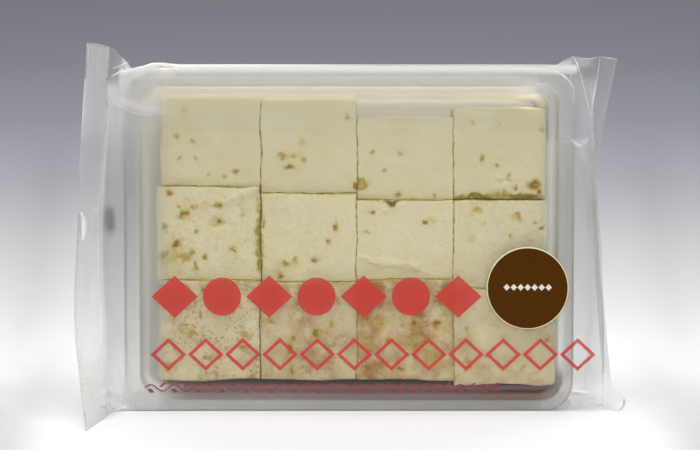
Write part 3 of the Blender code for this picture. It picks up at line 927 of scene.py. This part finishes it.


# %% [markdown]
# ## Marshmallow foam
# Whipped sugar and gelatine set to a dry, matt foam of tiny cells. Scattering under the surface
# would be nearer the truth but slow and noisy, and at this size a rough plain surface with a fine
# bump looks the same. The colours are stacked: the drifting cream tone, browning, a halo round each
# smudge, the smudges, and blotches where the square is dusted. The olive layer also paints shade in
# the grooves and gaps between squares and in dents.

# %% Squares material
def whipped_marshmallow():
    """Dry sugar foam cut from a slab. The tone drifts over about a centimetre, spice smudges are broken up
    by a millimetre noise, dusted parts get blotches of one to three millimetres, and fine specks are the
    middles of small cells. Olive also paints shade in the grooves and gaps between squares and in dents."""
    material, tree = new_material("whipped_marshmallow_hand_cut")
    position = add(tree, "TexCoord").outputs["Object"]

    def noise(scale, detail=2.0):
        node = add(tree, "TexNoise", inputs={"Vector": position, "Scale": scale, "Detail": detail})
        return node.outputs["Fac"]

    def ramp(value, low, high):
        node = add(tree, "MapRange", inputs={"Value": value, "From Min": low, "From Max": high})
        return node.outputs[0]

    def times(first, second):
        return maths(tree, "MULTIPLY", first, second, clamp=True)

    def blend(share, first, hex_colour):
        return mix_colours(tree, share, first, linear(hex_colour))

    colour = blend(noise(90.0, 3.0), linear("dfd4a3"), "ebe6c6")
    uneven = add(tree, "MapRange", inputs={"Value": noise(210.0, 4.0), "From Min": 0.35, "From Max": 0.65,
                                           "To Min": 0.45, "To Max": 1.35}).outputs[0]
    colour = blend(times(attribute(tree, "browning"), uneven), colour, "b08044")
    broken = ramp(noise(520.0, 3.0), 0.34, 0.58)
    colour = blend(attribute(tree, "halo"), colour, "cdbd6a")
    for name, light, dark in (("olive_and_shade", "bcae5a", "78701f"), ("rust", "cdb06c", "94742a")):
        amount = attribute(tree, name)
        mark = times(amount, maths(tree, "MULTIPLY_ADD", amount, 0.6, broken))
        colour = blend(ramp(mark, 0.03, 0.40), colour, light)
        colour = blend(ramp(mark, 0.34, 0.95), colour, dark)
    dusting = attribute(tree, "dusting")
    colour = blend(times(dusting, ramp(noise(330.0, 3.0), 0.52, 0.70)), colour, "a0762c")
    colour = blend(times(dusting, ramp(noise(950.0, 2.0), 0.55, 0.68)), colour, "8c7136")
    height = maths(tree, "ADD", noise(1100.0, 4.0), noise(240.0))
    bump = shader(tree, "Bump", Strength=0.6, Distance=0.0005, Height=height)
    surface = add(tree, "BsdfPrincipled", inputs={"Base Color": colour, "Roughness": 0.9,
                                                  "Specular IOR Level": 0.25, "Normal": bump})
    return finish(material, surface.outputs[0])


marshmallow = whipped_marshmallow()


# %% Where a square lies
def hill(u, w, centre_u, centre_w, width, height):
    """A smooth mark one width by one height across: exp(-2.2 r^2), with r = 1 at its edge."""
    r_squared = ((u - centre_u) / (width / 2 + 0.5)) ** 2 + ((w - centre_w) / (height / 2 + 0.5)) ** 2
    return np.exp(-2.2 * r_squared)


def square_box(number):
    """The block's corners (u, d, v): the cuts less half a gap, and less the wider gaps."""
    row, column = 2 - (number - 1) // 4, (number - 1) % 4
    low = np.array([COLUMN_CUTS[column], FRONT_DEPTHS[row], ROW_CUTS[column][row]])
    high = np.array([COLUMN_CUTS[column + 1], BACK_DEPTH, ROW_CUTS[column][row + 1]])
    low[[0, 2]] += CUT_GAP / 2
    high[[0, 2]] -= CUT_GAP / 2
    for square, side, width in WIDE_GAPS:
        if square == number:
            corner = (low, high, low, high)[side]
            corner[0 if side < 2 else 2] += width if side in (0, 2) else -width
    return low, high


def waver(points):
    """Bends all cuts a little with one noise, so neighbours still fit: at most half a millimetre sideways."""
    flat = points * (1.0, 0.4, 1.0)
    for axis, seed in ((0, 90), (2, 92)):
        shift = 0.42 * soft_noise(flat, 10.0, seed) + 0.16 * soft_noise(flat, 3.5, seed + 1)
        points = points + shift[:, None] * (np.arange(3) == axis)
    return points


def held(values, limit):
    """Values held to the limit on both sides, but for a fiftieth of what is over, so no two points meet."""
    over = np.maximum(np.abs(values) - limit, 0)
    return values - np.sign(values) * over * 0.98


def keep_in_tray(points):
    """Holds the outer sides inside the tray's walls: the profile's inset at each depth, half the wall
    and a hair."""
    u, d, w = points.T
    inset = np.interp(d, tray_depth[12:], tray_inset[12:]) + TRAY_WALL / 2 + 0.15
    middle = (FLANGE_TOP + FLANGE_BOTTOM) / 2
    return held(u, FLANGE_HALF_WIDTH - inset), d, middle + held(w - middle, FLANGE_TOP - middle - inset)


# %% One square
def make_square(number):
    """A rounded block between its cuts, made uneven along its normals, then dented, ridged and smudged.
    Where two squares touch, the sides stay flat; only the front and the slab's outer sides are uneven."""
    row, column = 2 - (number - 1) // 4, (number - 1) % 4
    soft_low = [OUTER_SOFTNESS if column == 0 else INNER_SOFTNESS, FRONT_SOFTNESS,
                OUTER_SOFTNESS if row == 0 else INNER_SOFTNESS]
    soft_high = [OUTER_SOFTNESS if column == 3 else INNER_SOFTNESS, FRONT_SOFTNESS,
                 OUTER_SOFTNESS if row == 2 else INNER_SOFTNESS]
    points, normals = rounded_block(*square_box(number), soft_low, soft_high)
    facing = np.clip(-normals[:, 1], 0, 1)
    outer = (column == 0) * np.clip(-normals[:, 0], 0, 1) + (column == 3) * np.clip(normals[:, 0], 0, 1)
    outer += (row == 0) * np.clip(-normals[:, 2], 0, 1) + (row == 2) * np.clip(normals[:, 2], 0, 1)
    lumps = 0.40 * soft_noise(points, 11.0, number) + 0.20 * soft_noise(points, 4.5, number + 20)
    patches = smoothstep(-0.5, 0.7, soft_noise(points, 8.0, number + 60))
    dusting = DUSTING.get(number, 0.02) * (0.30 + 0.70 * patches)
    lumps += (0.05 + 0.22 * dusting) * soft_noise(points, 1.4, number + 40)
    lumps *= np.clip(facing + 0.7 * outer, 0, 1)
    # Smudges and dents have ragged outlines: their places are read through a fine noise.
    u = points[:, 0] + 0.9 * soft_noise(points, 1.9, 31)
    w = points[:, 2] + 0.9 * soft_noise(points, 1.9, 32)
    rust, halo = np.zeros(len(u)), np.zeros(len(u))
    # Painted shade: olive on the sides that turn into the grooves between squares, where little light
    # reaches.
    olive_and_shade = 0.42 * smoothstep(0.0, 0.28, 1 - facing) * (1 - np.clip(1.4 * outer, 0, 1))
    for mark in DENTS.get(number, ()):
        hollow = facing * hill(u, w, *mark[:4])
        lumps -= mark[4] * hollow
        # Painted shade: olive in the hollow of each dent.
        olive_and_shade += 0.35 * hollow
    for start, stop, width, height in RIDGES.get(number, ()):
        near = distance_to_path(u, w, (start, stop)) / width
        lumps += facing * height * np.clip(1 - near, 0, 1)
    for mark in BULGES.get(number, ()):
        lumps += mark[4] * hill(u, w, *mark[:4])
    for centre_u, centre_w, width, height, is_rust, is_olive in SMUDGES_AND_SHADE[number]:
        patch = facing * hill(u, w, centre_u, centre_w, width, height)
        rust += (1.5 if row == 2 else 1.1) * is_rust * patch
        olive_and_shade += (1.5 if row == 2 else 1.0) * is_olive * patch
        around = facing * hill(u, w, centre_u, centre_w, width * 2, height * 2)
        halo += 0.6 * max(is_rust, is_olive) * around
    u, d, w = keep_in_tray(waver(points + normals * lumps[:, None]))
    fields = {"rust": np.clip(rust, 0, 1), "olive_and_shade": np.clip(olive_and_shade, 0, 1), "halo": np.clip(halo, 0, 0.8),
              "dusting": dusting, "browning": BROWNING.get(number, 0.0) * (0.5 + 0.5 * patches)}
    return make_piece(f"marshmallow_{number}", place(u, w - d * math.tan(LEAN), d), cube_faces, marshmallow,
                      fields=fields)


for number in range(1, 13):
    make_square(number)

# %% [markdown]
# ## Printed shapes
# Red ink printed on the outside of the film. The shapes lie a twentieth of a millimetre in front
# of the film and follow its sag. Each is a small grid of two parameters: a lozenge is a slanted
# square grid, a disc is a square grid bent round, and an outline is a path with a width.

# %% Ink on the film
INK_LIFT = 0.06


def on_film(u, v, lift):
    """Print positions on the face to the frame, the lift in front of the film."""
    return place(u, v, mouth_sag(u, v) - lift)


def lozenge_grid(width, height, steps=8):
    """A lozenge: from its left tip, one parameter goes up right and the other down right."""
    s, t = np.meshgrid(np.linspace(0, 1, steps + 1), np.linspace(0, 1, steps + 1), indexing="ij")
    return (s + t - 1) * width / 2, (s - t) * height / 2


def disc_grid(width, height, steps=10):
    """A square grid bent to a disc: each ring of the square becomes a circle of the same half size."""
    s, t = np.meshgrid(np.linspace(-1, 1, steps + 1), np.linspace(-1, 1, steps + 1), indexing="ij")
    return s * np.sqrt(1 - t**2 / 2) * width / 2, t * np.sqrt(1 - s**2 / 2) * height / 2


def lozenge_outline(width, height, stroke, steps=8):
    """A lozenge's outline: once round by its four corners, and across from the outer edge inwards."""
    corner = np.array([(1, 0), (0, 1), (-1, 0), (0, -1)], float)
    turn = np.linspace(0, 4, 4 * steps, endpoint=False)
    k = turn.astype(int)
    f = (turn - k)[:, None]
    around = corner[k] * (1 - f) + corner[(k + 1) % 4] * f
    slope = math.hypot(width, height)
    inner_width = width - 2 * stroke * slope / height
    inner_height = height - 2 * stroke * slope / width
    across = np.array([0.0, 0.5, 1.0])
    half_u = (width + (inner_width - width) * across) / 2
    half_v = (height + (inner_height - height) * across) / 2
    return around[:, 0, None] * half_u, around[:, 1, None] * half_v


def printed_ink(name, hex_colour):
    """A thin layer of ink: 0.88 of it covers, and the rest lets the light straight through."""
    material, tree = new_material(name)
    ink = add(tree, "BsdfPrincipled", inputs={"Base Color": linear(hex_colour), "Roughness": 0.4})
    return finish(material, mix(tree, 0.88, clear(tree), ink.outputs[0]))


red_ink = printed_ink("flexographic_red_ink", "cf3226")
wine_ink = printed_ink("flexographic_wine_red_ink", "9a3040")


def print_piece(name, shapes, material, lift=INK_LIFT, replaces="bag"):
    """Joins printed shapes, given as (u, v, closed) grids, into one piece."""
    points, faces, count = [], [], 0
    for u, v, closed in shapes:
        points.append(on_film(u, v, lift).reshape(-1, 3))
        faces.append(towards_front(u, v, grid_faces(*u.shape, close_rows=closed)) + count)
        count += u.size
    return make_piece(name, np.concatenate(points), np.concatenate(faces), material,
                      replaces)


PRINT_LEFT = -69.6
bold_row = []
for k in range(7):
    u, v = lozenge_grid(16.4, 14.9) if k % 2 == 0 else disc_grid(13.4, 13.4)
    bold_row.append((u + PRINT_LEFT + 8.3 + k * 16.62, v + 40.3, False))
print_piece("print_bold_row", bold_row, red_ink)

thin_row = []
for k in range(12):
    u, v = lozenge_outline(12.6, 11.6, 1.15)
    thin_row.append((u + PRINT_LEFT + 6.0 + k * 13.1, v + 20.0, True))
print_piece("print_thin_row", thin_row, red_ink)


# %% Fine garland
def stroke(u, v, width):
    """A line with a width: each point of the path moved half the width to both sides along its normal."""
    along = np.stack([np.gradient(u), np.gradient(v)])
    along /= np.linalg.norm(along, axis=0)
    side = np.array([-0.5, 0.0, 0.5]) * width
    return u[:, None] - along[1][:, None] * side, v[:, None] + along[0][:, None] * side


GARLAND_LEFT, GARLAND_LENGTH, GARLAND_HEIGHT, GARLAND_WAVE = -72.0, 126.0, 8.3, 8.4
run = np.linspace(0, GARLAND_LENGTH, 480)
wave = 1.1 * np.sin(2 * math.pi * run / GARLAND_WAVE)
garland = [(*stroke(run + GARLAND_LEFT, GARLAND_HEIGHT + wave, 0.5), False)]
for k in range(30):
    centre = (k + 0.5) * GARLAND_WAVE / 2
    above = -1.0 if k % 2 == 0 else 1.0
    leaf_u, leaf_v = lozenge_grid(2.6, 1.5, 4)
    tilted_v = leaf_v + leaf_u * 0.5 * above + GARLAND_HEIGHT + 1.0 * above
    garland.append((leaf_u + centre + GARLAND_LEFT + leaf_v * 0.4, tilted_v, False))
print_piece("print_garland", garland, wine_ink)

# %% [markdown]
# ## The label
# A round paper sticker on the film, brown with a thin unprinted edge. It is one closed surface of
# rings, turned like a lathe profile, whose depth follows the film's sag. A cylinder would be simpler
# but would stand away from the film where that hangs in.

# %% Label disc
LABEL_RADIUS, LABEL_EDGE = 14.4, 0.35


def coated_label_paper():
    """Brown printed paper with a thin unprinted edge."""
    material, tree = new_material("coated_label_paper_brown")
    position = add(tree, "TexCoord").outputs["Object"]
    fibre = add(tree, "TexNoise", inputs={"Vector": position, "Scale": 700.0, "Detail": 3.0})
    brown = mix_colours(tree, fibre.outputs["Fac"], linear("482701"), linear("583302"))
    colour = mix_colours(tree, attribute(tree, "edge"), brown, linear("efe0b4"))
    surface = add(tree, "BsdfPrincipled", inputs={"Base Color": colour, "Roughness": 0.6,
                                                  "Specular IOR Level": 0.05})
    return finish(material, surface.outputs[0])


# Rings from the front's middle over the edge to the back's middle, as share of the radius and depth
edge_share = 1 - LABEL_EDGE / LABEL_RADIUS
ring_share = np.array([0, 0.35, 0.7, edge_share - 0.001, edge_share, 0.998, 1.0, 1.0, 0.99, 0.6, 0])
ring_depth = np.array([-0.50, -0.50, -0.50, -0.50, -0.50, -0.49, -0.45, -0.12, -0.1, -0.1, -0.1])
ring_edge = np.array([0, 0, 0, 0, 1, 1, 1, 1, 0, 0, 0.0])
angle = np.linspace(0, 2 * math.pi, 128, endpoint=False)
disc_u = LABEL_RADIUS * ring_share[:, None] * np.cos(angle) + LABEL_U
disc_v = LABEL_RADIUS * ring_share[:, None] * np.sin(angle) + LABEL_UP * math.cos(LEAN)
disc_d = mouth_sag(disc_u, disc_v) + ring_depth[:, None]
disc_faces = grid_faces(*disc_u.shape, close_columns=True)[:, ::-1]
make_piece("label_disc", place(disc_u, disc_v, disc_d), disc_faces,
           coated_label_paper(), replaces="label",
           fields={"edge": ring_edge[:, None] + 0 * disc_u})

# %% [markdown]
# ## The mark on the label
# White ink on the brown paper, here a plain row of seven lozenges. They are grids like the print on
# the film, and lie a little in front of the paper.

# %% Mark on the label
LABEL_MARK_LIFT = 0.56
white_ink = printed_ink("screen_printed_white_ink", "f6f2ea")
label_row = []
for k in range(7):
    u, v = lozenge_grid(2.3, 2.4, 3)
    label_row.append((u + LABEL_U + (k - 3) * 2.45, v + LABEL_UP + 0.1, False))
print_piece("label_mark", label_row, white_ink, LABEL_MARK_LIFT, "label")

# %% [markdown]
# ## The register mark
# A grey printed spot by which a packing machine finds where to cut the film. It is on the far film
# and is seen through the near one, so its edge fades, which one attribute on a round grid carries.

# %% Register mark
def register_ink():
    """Grey ink with a soft edge, as a mark on the far film looks through the near one."""
    material, tree = new_material("register_mark_grey_ink")
    ink = add(tree, "BsdfPrincipled", inputs={"Base Color": linear("3c3c3a"), "Roughness": 0.6})
    return finish(material, mix(tree, attribute(tree, "fade"), clear(tree), ink.outputs[0]))


MARK_U, MARK_V, MARK_DEPTH = -84.4, 66.4, 4.6
mark_u, mark_v = disc_grid(6.4, 15.0, 16)
mark_r = np.hypot(mark_u / 3.2, mark_v / 7.5)
mark_points = place(mark_u + MARK_U - 0.02 * mark_v, mark_v + MARK_V, MARK_DEPTH - 0.35 * mark_u)
make_piece("register_mark", mark_points,
           towards_front(mark_u, mark_v, grid_faces(*mark_u.shape)), register_ink(),
           fields={"fade": 0.92 * (1 - smoothstep(0.25, 1.0, mark_r))})

# %% [markdown]
# ## The stage
# A sweep of pale paper that runs under the pack and curves up behind it, so no corner shows. Its
# tone darkens upwards. Lights could do that too, but they would also change the pack, so the paper
# itself carries the tones, as stops along its length. It also carries painted shade: a faint shadow
# ring of the film beside the pack, and darkening towards the front corners.

# %% Paper sweep
SWEEP_START, SWEEP_BEND, SWEEP_RADIUS, SWEEP_TOP = -1.6, 0.07, 0.22, 1.2


def sweep_profile():
    """Floor, quarter circle and wall, as (distance back, height) points in metres."""
    floor = np.stack([np.linspace(SWEEP_START, SWEEP_BEND, 60), np.zeros(60)], axis=1)
    angle = np.linspace(0, math.pi / 2, 40)[1:]
    bend = np.stack([SWEEP_BEND + SWEEP_RADIUS * np.sin(angle), SWEEP_RADIUS * (1 - np.cos(angle))], axis=1)
    wall_y = SWEEP_BEND + SWEEP_RADIUS
    wall = np.stack([np.full(20, wall_y), np.linspace(SWEEP_RADIUS, SWEEP_TOP, 21)[1:]], axis=1)
    return np.concatenate([floor, bend, wall])


GRADE_NEAR, GRADE_FAR = -0.10, 0.31


def graded_paper():
    """Matt paper: the tone at its distance along the sweep, darkened by painted shade where the dim attribute
    says.
    """
    material, tree = new_material("graded_background_paper")
    ramp = add(tree, "ValToRGB", inputs={0: attribute(tree, "far")})
    stops = ((-0.10, "e3e3e5"), (-0.026, "dfdfe1"), (0.034, "cccccc"), (0.095, "c3c2c2"), (0.135, "b2b2b3"),
             (0.18, "9d9d9f"), (0.217, "828288"), (0.251, "6c6c74"), (0.282, "5d5e64"), (0.31, "55565c"))
    while len(ramp.color_ramp.elements) < len(stops):
        ramp.color_ramp.elements.new(0.5)
    for element, (position, colour) in zip(ramp.color_ramp.elements, stops):
        element.position = (position - GRADE_NEAR) / (GRADE_FAR - GRADE_NEAR)
        element.color = linear(colour)
    tone = mix_colours(tree, attribute(tree, "dim"), ramp.outputs[0], (0, 0, 0, 1))
    surface = add(tree, "BsdfPrincipled", inputs={"Base Color": tone, "Roughness": 0.9})
    return finish(material, surface.outputs[0])


profile_line = sweep_profile()
steps = np.linalg.norm(np.diff(profile_line, axis=0), axis=1)
travelled = np.r_[0, np.cumsum(steps)] + SWEEP_START
across = np.linspace(-1, 1, 121) ** 3 * 1.8
sweep_points = np.zeros((len(profile_line), len(across), 3))
sweep_points[..., 0] = across
sweep_points[..., 1] = profile_line[:, :1]
sweep_points[..., 2] = profile_line[:, 1:]
sweep_mesh = bpy.data.meshes.new("paper_sweep")
sweep_mesh.from_pydata(sweep_points.reshape(-1, 3), [], grid_faces(*sweep_points.shape[:2])[:, ::-1])
layer = sweep_mesh.attributes.new("far", "FLOAT", "POINT")
far_share = np.clip((travelled - GRADE_NEAR) / (GRADE_FAR - GRADE_NEAR), 0, 1)[:, None] + 0 * across
layer.data.foreach_set("value", far_share.ravel().astype(np.float32))
# Painted shade: the paper is darkened towards the front corners, and a faint painted shadow ring of
# the film lies beside the pack.
far, sideways = travelled[:, None], np.abs(across)
ring = np.interp(travelled, (-0.04, 0.034, 0.10, 0.187, 0.245), (0.090, 0.113, 0.128, 0.135, 0.129))[:, None]
ring_fade = smoothstep(-0.05, 0.0, far) * smoothstep(0.27, 0.20, far) * np.where(across < 0, 0.14, 0.11)
dim = ring_fade * np.exp(-((sideways - ring) / 0.013) ** 2)
dim += 0.42 * smoothstep(0.094, 0.125, sideways) * smoothstep(0.06, -0.03, far)
layer = sweep_mesh.attributes.new("dim", "FLOAT", "POINT")
layer.data.foreach_set("value", dim.ravel().astype(np.float32))
sweep_mesh.shade_smooth()
sweep_mesh.materials.append(graded_paper())
sweep = bpy.data.objects.new("paper_sweep", sweep_mesh)
bpy.context.scene.collection.objects.link(sweep)

# %% [markdown]
# ## Lights
# A wide soft box above, a narrow one behind that lights the top edge, and two small lamps in front
# for the highlights on the film. A picture of a room would give richer reflections but would have
# to be stored.

# %% Lights
def soft_box(name, position, aim, size, watts):
    """A square area light that looks at aim."""
    data = bpy.data.lights.new(name, "AREA")
    data.shape = "RECTANGLE"
    data.size, data.size_y = size
    data.energy = watts
    light = bpy.data.objects.new(name, data)
    light.location = position
    direction = Vector(aim) - Vector(position)
    light.rotation_euler = direction.to_track_quat("-Z", "Y").to_euler()
    bpy.context.scene.collection.objects.link(light)
    return light


soft_box("top_light", (0, -0.08, 0.85), (0, 0, 0.06), (0.9, 0.5), 8.0)
soft_box("back_light", (0, 0.26, 0.36), (0, 0.02, 0.08), (0.8, 0.06), 2.1)
soft_box("left_lamp", (-0.14, -1.05, 0.46), (0, 0, 0.06), (0.08, 0.08), 1.16)
soft_box("right_lamp", (0.14, -1.05, 0.46), (0, 0, 0.06), (0.08, 0.08), 1.16)
world = bpy.data.worlds.new("studio")
world.use_nodes = True
world.node_tree.nodes["Background"].inputs["Color"].default_value = (1, 1, 1, 1)
world.node_tree.nodes["Background"].inputs["Strength"].default_value = 0.24
bpy.context.scene.world = world

# %% [markdown]
# ## Camera
# A long lens, a little above the pack, aimed at a point on the face.

# %% Camera
LENS = 131.9
CAMERA_DISTANCE, CAMERA_ELEVATION = 0.90, math.radians(10)
AIM_U, AIM_V = 0.35, 65.5
camera_data = bpy.data.cameras.new("camera")
camera_data.sensor_width = 36.0
camera_data.lens = LENS
camera = bpy.data.objects.new("camera", camera_data)
aim = place(np.array(AIM_U), np.array(AIM_V), np.array(0.0))
camera.location = (aim[0], aim[1] - CAMERA_DISTANCE * math.cos(CAMERA_ELEVATION),
                   aim[2] + CAMERA_DISTANCE * math.sin(CAMERA_ELEVATION))
camera.rotation_euler = (math.pi / 2 - CAMERA_ELEVATION, 0, 0)
bpy.context.scene.collection.objects.link(camera)
bpy.context.scene.camera = camera
bpy.context.scene.view_settings.view_transform = "Standard"
bpy.context.scene.cycles.transparent_max_bounces = 32
